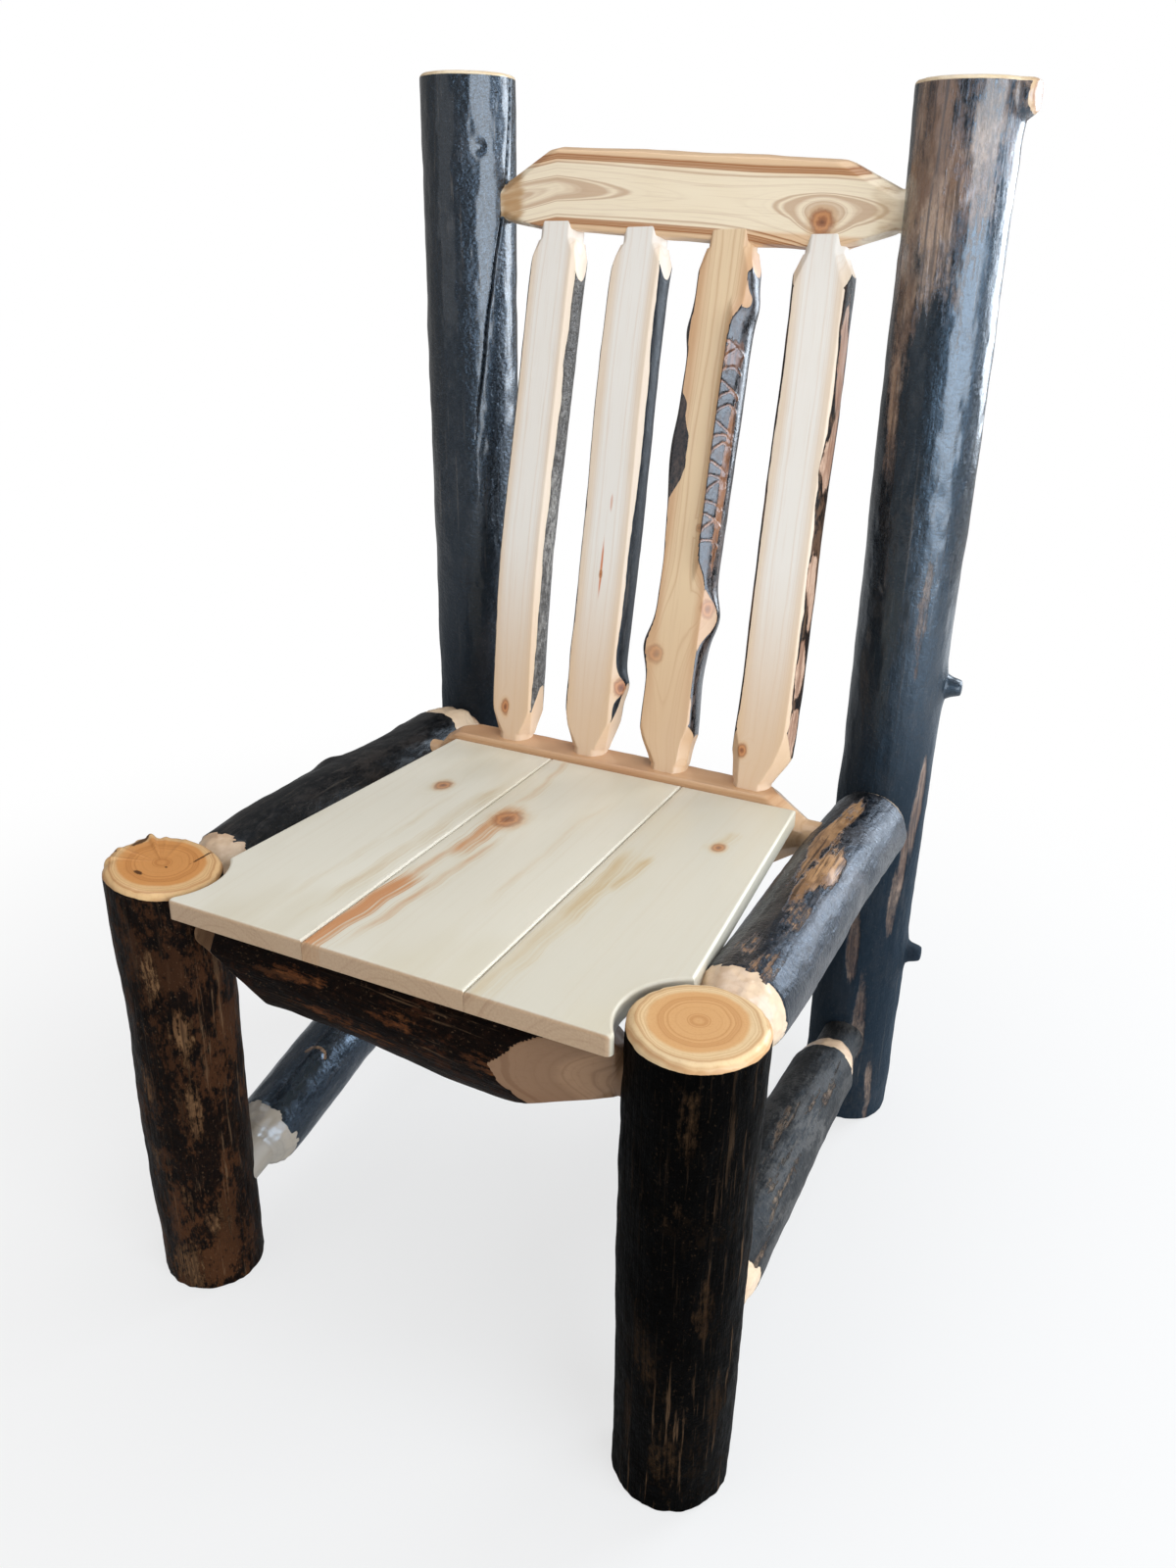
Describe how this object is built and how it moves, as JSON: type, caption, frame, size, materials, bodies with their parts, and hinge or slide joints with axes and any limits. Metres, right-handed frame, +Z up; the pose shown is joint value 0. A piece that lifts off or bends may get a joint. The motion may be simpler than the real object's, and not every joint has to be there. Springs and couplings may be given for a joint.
{
  "type": "rustic log chair",
  "caption": "Rustic side chair of round bark-covered logs joined by hewn round tenons, with a notched plank seat and upright half-log back slats.",
  "frame": {"origin": "on the floor, in the middle of the chair's footprint", "axes": "+Z up, -Y towards the front of the chair, +X towards the right-hand side seen from the front"},
  "size_m": [0.6344, 0.6675, 1.13],
  "materials": {
    "bark_log": "bark under clear varnish, satin to gloss",
    "peeled_log": "peeled and hewn pine, clear satin varnish",
    "sawn_slat": "sawn pine face, clear satin varnish",
    "seat_board": "planed pine, clear satin varnish",
    "screw_steel": "zinc plated"
  },
  "bodies": {
    "root": {"front_leg_left": "bark_log", "front_leg_right": "bark_log", "rear_post_left": "bark_log", "rear_post_right": "bark_log", "front_rail": "bark_log", "side_rail_left": "bark_log", "side_rail_right": "bark_log", "stretcher_left": "bark_log", "stretcher_right": "bark_log", "rear_seat_rail": "peeled_log", "crest_rail": "peeled_log", "back_slat_1": "sawn_slat", "back_slat_2": "sawn_slat", "back_slat_3": "sawn_slat", "back_slat_4": "sawn_slat", "seat_board_left": "seat_board", "seat_board_middle": "seat_board", "seat_board_right": "seat_board", "front_seat_screws": "screw_steel", "rear_seat_screws": "screw_steel"}
  },
  "joints": []
}
